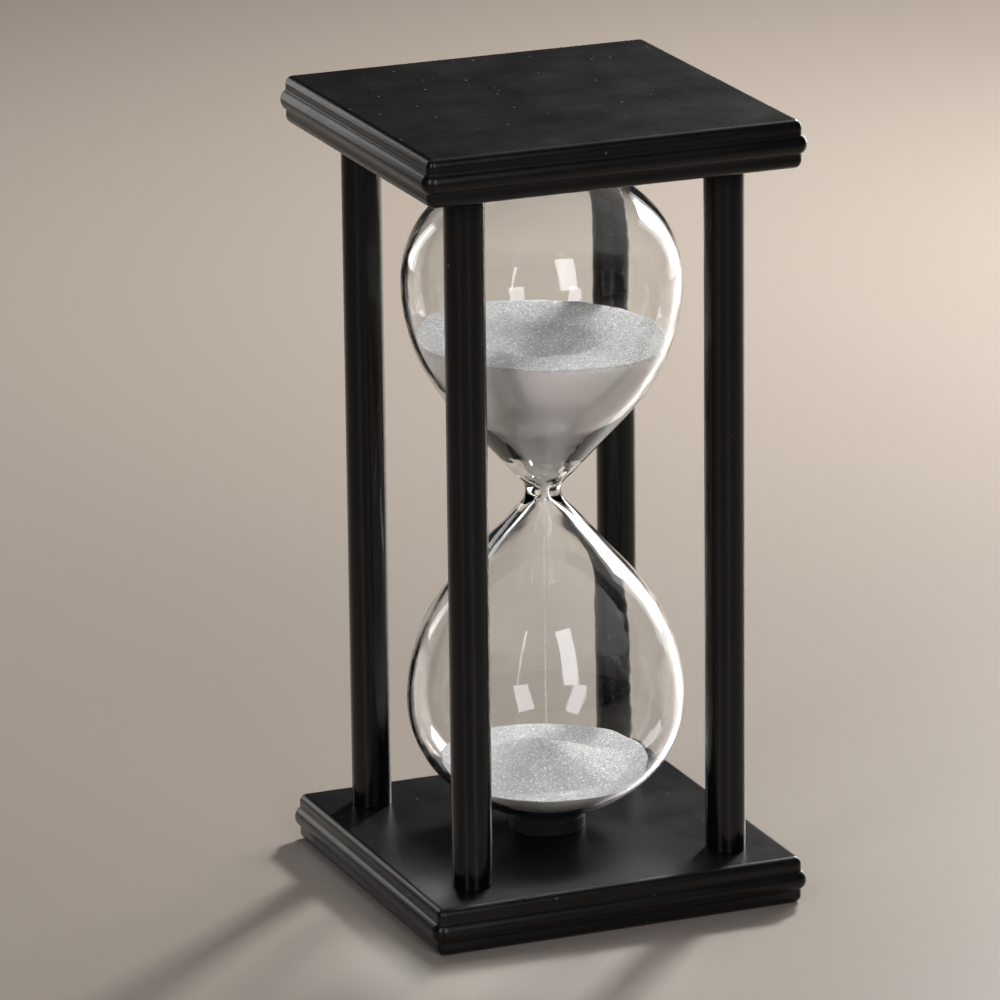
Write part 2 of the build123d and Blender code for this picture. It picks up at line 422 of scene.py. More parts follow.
def owner(graph: Graph) -> bpy.types.Material:
    """The material that a graph belongs to."""
    return next(m for m in bpy.data.materials if m.node_tree == graph.tree)


@dataclass(frozen=True)
class BlackLacquer:
    """Satin or semi-gloss black over wood or board."""

    name: str
    dark: tuple[float, float, float] = (0.0030, 0.0030, 0.0031)
    light: tuple[float, float, float] = (0.0068, 0.0067, 0.0068)
    rough_low: float = 0.2
    rough_high: float = 0.3
    specular: float = 0.5
    peel_depth: float = 0.05
    stretch: tuple[float, float, float] = (1.0, 1.0, 1.0)
    dust: float = 0.05

    def build(self, effects: SurfaceEffects) -> bpy.types.Material:
        """Makes the material.

        Args:
            effects: The shared groups.

        Returns:
            The material.
        """
        g, out = fresh_material(self.name)
        place = g.add("ShaderNodeTexCoord").outputs["Object"]
        turned = g.add("ShaderNodeMapping", {"Vector": place, "Scale": self.stretch}).outputs[0]
        skin = g.add("ShaderNodeGroup", node_tree=effects.skin)
        g.join(turned, skin.inputs["Vector"])
        specks = g.add("ShaderNodeGroup", {"Scale": 620.0, "Share": self.dust}, node_tree=effects.specks)
        g.join(place, specks.inputs["Vector"])
        colour = g.mix(skin.outputs["Cloudiness"], (*self.dark, 1), (*self.light, 1))
        colour = g.mix(specks.outputs["Mask"], colour, (0.11, 0.105, 0.1, 1))
        rough = g.span(skin.outputs["Cloudiness"], 0.0, 1.0, self.rough_low, self.rough_high)
        rough = g.math("MAXIMUM", rough, g.math("MULTIPLY", specks.outputs["Mask"], 0.8))
        bump = g.add("ShaderNodeBump", {"Strength": self.peel_depth, "Distance": 0.0004,
                                        "Height": skin.outputs["Height"]})
        shader = g.add("ShaderNodeBsdfPrincipled", {"Base Color": colour, "Roughness": rough,
                                                    "Normal": bump.outputs[0],
                                                    "Specular IOR Level": self.specular,
                                                    "IOR": 1.5})
        g.join(shader.outputs[0], out.inputs[0])
        return owner(g)


@dataclass(frozen=True)
class SoftBlack:
    """Matt black rubber or moulded plastic with a fine tooth and a little dust."""

    name: str
    colour: tuple[float, float, float] = (0.012, 0.012, 0.0125)
    roughness: float = 0.6
    tooth: float = 0.3
    dust: float = 0.1

    def build(self, effects: SurfaceEffects) -> bpy.types.Material:
        """Makes the material.

        Args:
            effects: The shared groups.

        Returns:
            The material.
        """
        g, out = fresh_material(self.name)
        place = g.add("ShaderNodeTexCoord").outputs["Object"]
        skin = g.add("ShaderNodeGroup", {"Peel": 2600.0, "Cloud": 300.0}, node_tree=effects.skin)
        specks = g.add("ShaderNodeGroup", {"Scale": 900.0, "Share": self.dust}, node_tree=effects.specks)
        g.join(place, skin.inputs["Vector"])
        g.join(place, specks.inputs["Vector"])
        worn = tuple(c * 1.9 for c in self.colour)
        colour = g.mix(skin.outputs["Cloudiness"], (*self.colour, 1), (*worn, 1))
        colour = g.mix(specks.outputs["Mask"], colour, (0.2, 0.19, 0.18, 1))
        rough = g.span(skin.outputs["Cloudiness"], 0.0, 1.0, self.roughness - 0.08, self.roughness + 0.1)
        bump = g.add("ShaderNodeBump", {"Strength": self.tooth, "Distance": 0.0001,
                                        "Height": skin.outputs["Height"]})
        shader = g.add("ShaderNodeBsdfPrincipled", {"Base Color": colour, "Roughness": rough,
                                                    "Normal": bump.outputs[0], "Specular IOR Level": 0.35})
        g.join(shader.outputs[0], out.inputs[0])
        return owner(g)


@dataclass(frozen=True)
class GlitterSand:
    """White quartz sand: every grain has its own tone, and a few carry a painted glint. Against glass it lies
    smooth, in a lighter, warmer colour that is partly painted bounce light.
    """

    name: str
    shade: tuple[float, float, float] = (0.33, 0.33, 0.327)
    bright: tuple[float, float, float] = (0.56, 0.56, 0.555)
    # Near-white colour of the painted glints.
    painted_glint_colour: tuple[float, float, float] = (0.97, 0.97, 0.96)
    # Side against the glass: smooth packed sand, painted lighter and warmer than the top as painted bounce
    # light.
    packed_and_painted_bounce: tuple[float, float, float] = (0.83, 0.765, 0.705)
    scale: float = 3300.0
    glints: float = 0.05
    relief: float = 0.6
    always_open: bool = False

    def build(self, effects: SurfaceEffects) -> bpy.types.Material:
        """Makes the material.

        Args:
            effects: The shared groups.

        Returns:
            The material.
        """
        g, out = fresh_material(self.name)
        place = g.add("ShaderNodeTexCoord").outputs["Object"]
        grains = g.add("ShaderNodeGroup", {"Scale": self.scale, "Glints": self.glints},
                       node_tree=effects.grains)
        g.join(place, grains.inputs["Vector"])
        drift = g.add("ShaderNodeTexNoise", {"Vector": place, "Scale": 220.0, "Detail": 4.0})
        tone = g.math("ADD", g.math("MULTIPLY", grains.outputs["Tone"], 0.65),
                      g.math("MULTIPLY", drift.outputs[0], 0.4))
        colour = g.mix(tone, (*self.shade, 1), (*self.bright, 1))
        # Painted glint: the glint cells take a near-white colour in place of a flash of light; their lower
        # roughness below is real gloss.
        colour = g.mix(grains.outputs["Glint"], colour, (*self.painted_glint_colour, 1))
        rough = g.span(grains.outputs["Glint"], 0.0, 1.0, 0.8, 0.15)
        height = grains.outputs["Height"]
        if not self.always_open:
            face = g.add("ShaderNodeAttribute", attribute_name="open_face").outputs["Fac"]
            # Painted light on the side against the glass: the smooth packed sand takes a lighter, warmer
            # colour than the open top, standing in for warm bounce light from the floor.
            smooth = g.mix(g.math("MULTIPLY", tone, 0.25), (*self.packed_and_painted_bounce, 1), (*self.bright, 1))
            colour = g.mix(face, smooth, colour)
            rough = g.math("ADD", g.math("MULTIPLY", rough, face),
                           g.math("MULTIPLY", 0.9, g.math("SUBTRACT", 1.0, face)))
            height = g.math("MULTIPLY", height, face)
        bump = g.add("ShaderNodeBump", {"Strength": self.relief, "Distance": 0.00025, "Height": height})
        shader = g.add("ShaderNodeBsdfPrincipled", {"Base Color": colour, "Roughness": rough,
                                                    "Normal": bump.outputs[0]})
        g.join(shader.outputs[0], out.inputs[0])
        return owner(g)


@dataclass(frozen=True)
class BlownGlass:
    """Clear polished glass that lets lamps through to what it holds."""

    name: str
    tint: tuple[float, float, float] = (0.985, 0.992, 0.99)
    clear: tuple[float, float, float] = (0.94, 0.95, 0.95)
    rim: tuple[float, float, float] = (0.42, 0.45, 0.45)
    index: float = 1.5

    def build(self, effects: SurfaceEffects) -> bpy.types.Material:
        """Makes the material.

        Args:
            effects: The shared groups.

        Returns:
            The material.
        """
        g, out = fresh_material(self.name)
        place = g.add("ShaderNodeTexCoord").outputs["Object"]
        skin = g.add("ShaderNodeGroup", {"Peel": 70.0, "Cloud": 30.0}, node_tree=effects.skin)
        g.join(place, skin.inputs["Vector"])
        bump = g.add("ShaderNodeBump",
                     {"Strength": 0.035, "Distance": 0.004, "Height": skin.outputs["Height"]})
        shader = g.add("ShaderNodeBsdfPrincipled", {"Base Color": (*self.tint, 1), "Roughness": 0.0,
                                                    "IOR": self.index, "Transmission Weight": 1.0,
                                                    "Normal": bump.outputs[0]})
        facing = g.add("ShaderNodeLayerWeight", {"Blend": 0.35}).outputs["Facing"]
        shade = g.mix(g.math("POWER", facing, 3.0), (*self.clear, 1), (*self.rim, 1))
        through = g.add("ShaderNodeBsdfTransparent", {"Color": shade})
        lamp = g.add("ShaderNodeLightPath").outputs["Is Shadow Ray"]
        both = g.add("ShaderNodeMixShader", {0: lamp, 1: shader.outputs[0], 2: through.outputs[0]})
        g.join(both.outputs[0], out.inputs[0])
        return owner(g)


@dataclass
class Finishes:
    """Every finish of the timer, made once."""

    effects: SurfaceEffects = field(default_factory=SurfaceEffects)

    def __post_init__(self) -> None:
        """Builds the materials."""
        e = self.effects
        self.plate = BlackLacquer("plate_satin_black", dark=(0.0021, 0.0021, 0.0022),
                                  light=(0.0044, 0.0043, 0.0044),
                                  rough_low=0.27, rough_high=0.34, specular=0.4).build(e)
        self.post = BlackLacquer("post_semi_gloss_black", dark=(0.0022, 0.0022, 0.0024),
                                 light=(0.0045, 0.0044, 0.0047), rough_low=0.16, rough_high=0.22,
                                 specular=0.4,
                                 peel_depth=0.04, stretch=(1.0, 1.0, 0.2), dust=0.02).build(e)
        self.seat = SoftBlack("seat_matt_black").build(e)
        self.pad = SoftBlack("pad_foam_black", (0.02, 0.02, 0.02), 0.8, 0.6, 0.0).build(e)
        self.stopper = SoftBlack("stopper_rubber", (0.03, 0.03, 0.03), 0.7, 0.4, 0.0).build(e)
        self.glass = BlownGlass("vial_clear_glass").build(e)
        self.sand = GlitterSand("sand_white_quartz").build(e)
        self.grain = GlitterSand("sand_loose_crystals", (0.38, 0.38, 0.375), (0.6, 0.6, 0.59), scale=1500.0,
                                 glints=0.1, relief=0.05, always_open=True).build(e)
        # Painted light: the falling grains take a much lighter copy of the sand's colours, so that the thin
        # thread reads as lit.
        self.stream = GlitterSand("sand_falling", (0.72, 0.72, 0.71), (0.9, 0.9, 0.89), scale=1500.0,
                                  glints=0.1, relief=0.05, always_open=True).build(e)


# ---- repeats --------------------------------------------------------------------------------------
class Scatter:
    """Small crystals strewn over a surface, as a geometry tree with named inputs."""

    TREE = "strew_crystals"

    def __init__(self) -> None:
        """Builds the tree."""
        tree = bpy.data.node_groups.new(self.TREE, "GeometryNodeTree")
        face = tree.interface
        face.new_socket("Geometry", in_out="OUTPUT", socket_type="NodeSocketGeometry")
        face.new_socket("Geometry", in_out="INPUT", socket_type="NodeSocketGeometry")
        self.sockets = {}
        for name, kind, default in (("Per Square Metre", "NodeSocketFloat", 1e6),
                                    ("Grain Size", "NodeSocketFloat", 3e-4),
                                    ("Flatness", "NodeSocketFloat", 1.0),
                                    ("Least Slope", "NodeSocketFloat", 0.3),
                                    ("Seed", "NodeSocketInt", 1), ("Finish", "NodeSocketMaterial", None)):
            socket = face.new_socket(name, in_out="INPUT", socket_type=kind)
            if default is not None:
                socket.default_value = default
            self.sockets[name] = socket.identifier
        g = Graph(tree)
        i = g.add("NodeGroupInput")
        normal = g.add("ShaderNodeSeparateXYZ", {0: g.add("GeometryNodeInputNormal").outputs[0]})
        up = g.add("FunctionNodeCompare", {0: normal.outputs[2], 1: i.outputs["Least Slope"]},
                   data_type="FLOAT", operation="GREATER_THAN").outputs[0]
        points = g.add("GeometryNodeDistributePointsOnFaces", {"Mesh": i.outputs["Geometry"], "Selection": up,
                                                               "Density": i.outputs["Per Square Metre"],
                                                               "Seed": i.outputs["Seed"]})
        grain = g.add("GeometryNodeMeshCone",
                      {"Vertices": 3, "Radius Bottom": 0.62, "Radius Top": 0.0, "Depth": 0.9})
        turn = g.add("FunctionNodeRandomValue",
                     {0: (0, 0, 0), 1: (6.283, 6.283, 6.283), "Seed": i.outputs["Seed"]},
                     data_type="FLOAT_VECTOR").outputs[0]
        size = g.add("FunctionNodeRandomValue", {2: 0.45, 3: 1.15, "Seed": i.outputs["Seed"]},
                     data_type="FLOAT").outputs[1]
        wide = g.math("MULTIPLY", size, i.outputs["Grain Size"])
        flat = g.math("MULTIPLY", wide, i.outputs["Flatness"])
        scale = g.add("ShaderNodeCombineXYZ", {0: wide, 1: wide, 2: flat}).outputs[0]
        placed = g.add("GeometryNodeInstanceOnPoints", {"Points": points.outputs["Points"],
                                                        "Instance": grain.outputs["Mesh"], "Scale": scale})
        g.join(turn, placed.inputs["Rotation"])
        real = g.add("GeometryNodeRealizeInstances", {0: placed.outputs[0]})
        dressed = g.add("GeometryNodeSetMaterial",
                        {"Geometry": real.outputs[0], "Material": i.outputs["Finish"]})
        g.join(dressed.outputs[0], g.add("NodeGroupOutput").inputs[0])
        self.tree = tree

    def over(self, source: bpy.types.Object, name: str, finish: bpy.types.Material,
             **inputs: float) -> bpy.types.Mesh:
        """Strews crystals over a piece and bakes them to a plain mesh.

        Args:
            source: The piece to strew over.
            name: Name of the new mesh.
            finish: Material of the crystals.
            **inputs: Input name, with underscores for spaces, to value.

        Returns:
            The crystals alone.
        """
        copy = bpy.data.objects.new(name + "_host", source.data.copy())
        bpy.context.scene.collection.objects.link(copy)
        modifier = copy.modifiers.new("strew", "NODES")
        modifier.node_group = self.tree
        modifier[self.sockets["Finish"]] = finish
        for key, value in inputs.items():
            modifier[self.sockets[key.replace("_", " ")]] = value
        return bake_tree(copy, name)


def bake_tree(host: bpy.types.Object, name: str) -> bpy.types.Mesh:
    """Turns a host's evaluated geometry into a plain mesh and removes the host.

    Args:
        host: The object with the geometry tree.
        name: Name of the mesh.

    Returns:
        The plain mesh.
    """
    bpy.context.view_layer.update()
    graph = bpy.context.evaluated_depsgraph_get()
    mesh = bpy.data.meshes.new_from_object(host.evaluated_get(graph), depsgraph=graph)
    mesh.name = name
    data = host.data
    bpy.data.objects.remove(host)
    bpy.data.meshes.remove(data)
    return mesh


class FallingStream:
    """Grains that fall in a thin thread, as a geometry tree with named inputs."""

    def __init__(self) -> None:
        """Builds the tree."""
        tree = bpy.data.node_groups.new("falling_thread", "GeometryNodeTree")
        face = tree.interface
        face.new_socket("Geometry", in_out="OUTPUT", socket_type="NodeSocketGeometry")
        face.new_socket("Geometry", in_out="INPUT", socket_type="NodeSocketGeometry")
        self.sockets = {}
        for name, kind, default in (("Count", "NodeSocketInt", 900), ("Top", "NodeSocketFloat", 0.1),
                                    ("Bottom", "NodeSocketFloat", 0.03),
                                    ("Top Spread", "NodeSocketFloat", 2e-4),
                                    ("Bottom Spread", "NodeSocketFloat", 4e-4),
                                    ("Grain Size", "NodeSocketFloat", 2e-4),
                                    ("Seed", "NodeSocketInt", 5), ("Finish", "NodeSocketMaterial", None)):
            socket = face.new_socket(name, in_out="INPUT", socket_type=kind)
            if default is not None:
                socket.default_value = default
            self.sockets[name] = socket.identifier
        g = Graph(tree)
        i = g.add("NodeGroupInput")
        fall = g.add("FunctionNodeRandomValue", {2: 0.0, 3: 1.0, "Seed": i.outputs["Seed"]},
                     data_type="FLOAT").outputs[1]
        spot = g.add("FunctionNodeRandomValue", {0: (-1, -1, 0), 1: (1, 1, 0), "Seed": i.outputs["Seed"]},
                     data_type="FLOAT_VECTOR").outputs[0]
        eased = g.math("POWER", fall, 0.8)
        spread = g.add("ShaderNodeMapRange",
                       {0: eased, 3: i.outputs["Bottom Spread"], 4: i.outputs["Top Spread"]})
        height = g.add("ShaderNodeMapRange", {0: eased, 3: i.outputs["Bottom"], 4: i.outputs["Top"]})
        part = g.add("ShaderNodeSeparateXYZ", {0: spot})
        x = g.math("MULTIPLY", part.outputs[0], spread.outputs[0])
        y = g.math("MULTIPLY", part.outputs[1], spread.outputs[0])
        place = g.add("ShaderNodeCombineXYZ", {0: x, 1: y, 2: height.outputs[0]}).outputs[0]
        points = g.add("GeometryNodePoints", {"Count": i.outputs["Count"], "Position": place})
        grain = g.add("GeometryNodeMeshCone",
                      {"Vertices": 3, "Radius Bottom": 0.62, "Radius Top": 0.0, "Depth": 0.9})
        turn = g.add("FunctionNodeRandomValue", {0: (0, 0, 0), 1: (6.283, 6.283, 6.283)},
                     data_type="FLOAT_VECTOR").outputs[0]
        size = g.add("FunctionNodeRandomValue", {2: 0.5, 3: 1.1}, data_type="FLOAT").outputs[1]
        wide = g.math("MULTIPLY", size, i.outputs["Grain Size"])
        scale = g.add("ShaderNodeCombineXYZ", {0: wide, 1: wide, 2: wide}).outputs[0]
        placed = g.add("GeometryNodeInstanceOnPoints",
                       {"Points": points.outputs[0], "Instance": grain.outputs["Mesh"],
                        "Scale": scale})
        g.join(turn, placed.inputs["Rotation"])
        real = g.add("GeometryNodeRealizeInstances", {0: placed.outputs[0]})
        dressed = g.add("GeometryNodeSetMaterial",
                        {"Geometry": real.outputs[0], "Material": i.outputs["Finish"]})
        g.join(dressed.outputs[0], g.add("NodeGroupOutput").inputs[0])
        self.tree = tree

    def pour(self, name: str, finish: bpy.types.Material, **inputs: float) -> bpy.types.Mesh:
        """Makes the thread of grains as a plain mesh.

        Args:
            name: Name of the mesh.
            finish: Material of the grains.
            **inputs: Input name, with underscores for spaces, to value.

        Returns:
            The grains.
        """
        host = bpy.data.objects.new(name + "_host", bpy.data.meshes.new(name + "_host"))
        bpy.context.scene.collection.objects.link(host)
        modifier = host.modifiers.new("pour", "NODES")
        modifier.node_group = self.tree
        modifier[self.sockets["Finish"]] = finish
        for key, value in inputs.items():
            modifier[self.sockets[key.replace("_", " ")]] = value
        return bake_tree(host, name)


# ---- the timer's pieces -----------------------------------------------------------------------------
@dataclass
class MouldedPlates:
    """The two plates, with an ovolo, bead and ovolo run round the edge."""

    finishes: Finishes
    corner_r: float = 3.2 * MM
    flat_in: float = 2.9 * MM
    quirk_in: float = 1.35 * MM
    step_in: float = 1.1 * MM
    ovolo_bulge: Point2 = (1.85 * MM, 0.62 * MM)
    ovolo_share: float = 0.2
    bead_share: float = 0.19
    lip: float = 0.15 * MM
    soft: float = 0.22 * MM
    corner_steps: int = 10

    def profile(self, thick: float) -> list[Point2]:
        """Edge of a plate as (inset from the bead, height), from the lower flat to the upper flat.

        Args:
            thick: Thickness of the plate.

        Returns:
            The outline.
        """
        mid, ov, bead = thick / 2, thick * self.ovolo_share, thick * self.bead_share
        bulge_in, bulge_up = self.ovolo_bulge
        low = three_point_run((self.flat_in, 0.0), (bulge_in, bulge_up), (self.quirk_in, ov), 9)
        step = [(self.quirk_in, mid - bead - self.lip), (self.step_in, mid - bead)]
        half = three_point_run((self.step_in, mid - bead), (0.0, mid), (self.step_in, mid + bead), 19)
        rest = [(self.quirk_in, mid + bead + self.lip)]
        top = [(p[0], thick - p[1]) for p in reversed(low)]
        support = self.flat_in + 0.3 * MM
        outline = softened([(support, 0.0)] + low + step + half[1:] + rest + top + [(support, thick)],
                           self.soft)
        return [(support + 0.2 * MM, 0.0)] + outline + [(support + 0.2 * MM, thick)]

    def plate(self, node: str) -> bpy.types.Object:
        """Builds one plate in the place of its CAD node.

        Args:
            node: Name of the CAD node.

        Returns:
            The piece.
        """
        low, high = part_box(node)
        half_x, half_y = (high.x - low.x) / 2, (high.y - low.y) / 2
        outline = self.profile(high.z - low.z)
        rows = []
        for inset, z in outline:
            radius = max(self.corner_r - inset, 0.02 * MM)
            cx, cy = half_x - inset - radius, half_y - inset - radius
            row = []
            for q, (sx, sy) in enumerate(((1, 1), (-1, 1), (-1, -1), (1, -1))):
                for k in range(self.corner_steps + 1):
                    a = math.pi / 2 * (q + k / self.corner_steps)
                    row.append((sx * cx + radius * math.cos(a), sy * cy + radius * math.sin(a), low.z + z))
            rows.append(row)
        n = len(rows[0])
        faces = [tuple(reversed(range(n)))]
        for i in range(len(rows) - 1):
            faces += [(i * n + k, i * n + (k + 1) % n, (i + 1) * n + (k + 1) % n, (i + 1) * n + k)
                      for k in range(n)]
        faces.append(tuple(range((len(rows) - 1) * n, len(rows) * n)))
        mesh = mesh_from(f"{node}_moulded", np.array([p for row in rows for p in row]), faces, 40)
        return place_piece(f"{node}_moulded", mesh, self.finishes.plate, Slot.FRAME, [node])

    def build(self) -> list[bpy.types.Object]:
        """Both plates."""
        return [self.plate("base_plate"), self.plate("top_plate")]


@dataclass
class TurnedPosts:
    """Four dowels with spigots."""

    finishes: Finishes
    spigot_r: float = 3.0 * MM
    spigot_chamfer: float = 0.5 * MM
    shoulder_round: float = 0.25 * MM
    segments: int = 128

    def post(self, node: str) -> bpy.types.Object:
        """Builds one post in the place of its CAD node.

        Args:
            node: Name of the CAD node.

        Returns:
            The piece.
        """
        low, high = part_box(node)
        floor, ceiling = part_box("base_plate")[1].z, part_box("top_plate")[0].z
        radius = (high.x - low.x) / 2
        centre = ((high.x + low.x) / 2, (high.y + low.y) / 2)
        half = [(0.0, low.z), (self.spigot_r - self.spigot_chamfer, low.z),
                (self.spigot_r, low.z + self.spigot_chamfer), (self.spigot_r, floor),
                (radius - self.shoulder_round, floor)]
        half += arc_run((radius - self.shoulder_round, floor + self.shoulder_round), self.shoulder_round,
                        -math.pi / 2, 0.0, 5)
        shaft = [(radius, floor + (ceiling - floor) * t / 24) for t in range(1, 24)]
        top = [(r, floor + ceiling - z) for r, z in reversed(half)]
        mesh = lathe(f"{node}_dowel", half + shaft + top, self.segments, centre=centre)
        return place_piece(f"{node}_dowel", mesh, self.finishes.post, Slot.POST, [node])

    def build(self) -> list[bpy.types.Object]:
        """All four posts."""
        return [self.post(f"post_{fb}_{lr}") for fb in ("front", "back") for lr in ("left", "right")]


class BulbCurve:
    """Half of one surface of the vial as (radius, height from the waist)."""

    def __init__(self, bulb_r: float, end: float, neck_r: float, fillet: float, inset: float = 0.0) -> None:
        """Works out the arcs.

        Args:
            bulb_r: Widest outer radius of the bulb.
            end: Height of the outer end from the waist.
            neck_r: Radius at the waist.
            fillet: Radius of the hollow at the waist.
            inset: Depth of this surface under the outer one.
        """
        belly_h, belly_r, shoulder_r = end * 0.645, bulb_r * 1.4, bulb_r * 0.74
        self.neck_r, self.fillet, self.belly_h = neck_r, fillet, belly_h
        self.belly_r, self.belly_c = belly_r - inset, (bulb_r - belly_r, belly_h)
        self.shoulder_r, self.shoulder_c = shoulder_r - inset, (bulb_r - shoulder_r, belly_h)
        drop = end - belly_h
        end_r = ((bulb_r - shoulder_r) ** 2 + drop ** 2 - shoulder_r ** 2) / (2 * (drop - shoulder_r))
        self.end_r, self.end_c = end_r - inset, (0.0, end - end_r)
        c1 = (neck_r + fillet, 0.0)
        dx, dz = self.belly_c[0] - c1[0], belly_h
        angle = math.atan2(dz, dx) - math.asin((fillet + self.belly_r) / math.hypot(dx, dz))
        nx, nz = -math.sin(angle), math.cos(angle)
        self.cone_low = (c1[0] + nx * fillet, nz * fillet)
        self.cone_top = (self.belly_c[0] - nx * self.belly_r, belly_h - nz * self.belly_r)
        self.join = math.atan2(self.shoulder_c[1] - self.end_c[1], self.shoulder_c[0])
        self.run = self.eased(self.arcs(), 3.2 * MM)
        self.top = self.run[-1, 1]

    def arcs(self) -> np.ndarray:
        """The arcs and the straight between them, as evenly spaced points from the waist to the pole."""
        c1 = (self.neck_r + self.fillet, 0.0)
        a = math.atan2(self.cone_low[1], self.cone_low[0] - c1[0])
        run = arc_run(c1, self.fillet, math.pi, a, 60)
        a = math.atan2(self.cone_top[1] - self.belly_h, self.cone_top[0] - self.belly_c[0])
        run += arc_run(self.belly_c, self.belly_r, a, 0.0, 200)
        run += arc_run(self.shoulder_c, self.shoulder_r, 0.0, self.join, 160)[1:]
        run += arc_run(self.end_c, self.end_r, self.join, math.pi / 2, 160)[1:]
        line = np.array(run)
        along = np.concatenate([[0.0], np.cumsum(np.hypot(*np.diff(line, axis=0).T))])
        even = np.linspace(0.0, along[-1], 2400)
        return np.stack([np.interp(even, along, line[:, 0]), np.interp(even, along, line[:, 1])], 1)

    def eased(self, line: np.ndarray, width: float) -> np.ndarray:
        """Blends the curvature from arc to arc, as surface tension does, away from the waist.

        Args:
            line: Evenly spaced points from the waist to the pole.
            width: Half width of the blend.

        Returns:
            The blended points.
        """
        step = float(np.hypot(*(line[1] - line[0])))
        reach = int(3 * width / step)
        weight = np.exp(-(np.arange(-reach, reach + 1) * step / width) ** 2 / 2)
        weight /= weight.sum()
        mirror = np.concatenate([line[reach:0:-1] * (1, -1), line,
                                 line[-2:-reach - 2:-1] * (-1, 1)])
        soft = np.stack([np.convolve(mirror[:, i], weight, "valid") for i in (0, 1)], 1)
        blend = np.clip((line[:, 1:] - 12 * MM) / (14 * MM), 0.0, 1.0)
        blend = blend * blend * (3 - 2 * blend)
        out = line * (1 - blend) + soft * blend
        out[-1, 0] = 0.0
        return out

    def points(self, stop_r: float = 0.0, fine: int = 1) -> list[Point2]:
        """Points from the waist to the end, closest where the curve is tightest.

        Args:
            stop_r: Radius at which the end stops, nought for the pole.
            fine: Multiplies the number of points.

        Returns:
            The points, without repeats.
        """
        line = self.run
        if stop_r > 0:
            past = np.nonzero((line[:, 1] > self.belly_h) & (line[:, 0] < stop_r))[0][0]
            t = (line[past - 1, 0] - stop_r) / (line[past - 1, 0] - line[past, 0])
            line = np.concatenate([line[:past], [line[past - 1] * (1 - t) + line[past] * t]])
        turn = np.unwrap(np.arctan2(*np.gradient(line, axis=0).T[::-1]))
        cost = np.concatenate([[0.0], np.cumsum(np.hypot(*np.diff(line, axis=0).T) / (0.9 * MM)
                                                + np.abs(np.diff(turn)) / math.radians(4.0))])
        spots = np.linspace(0.0, cost[-1], int(cost[-1] * fine) + 2)
        return [(float(np.interp(c, cost, line[:, 0])), float(np.interp(c, cost, line[:, 1]))) for c in spots]

    def radius_at(self, h: float) -> float:
        """Radius of the surface at a height from the waist."""
        return float(np.interp(h, self.run[:, 1], self.run[:, 0]))


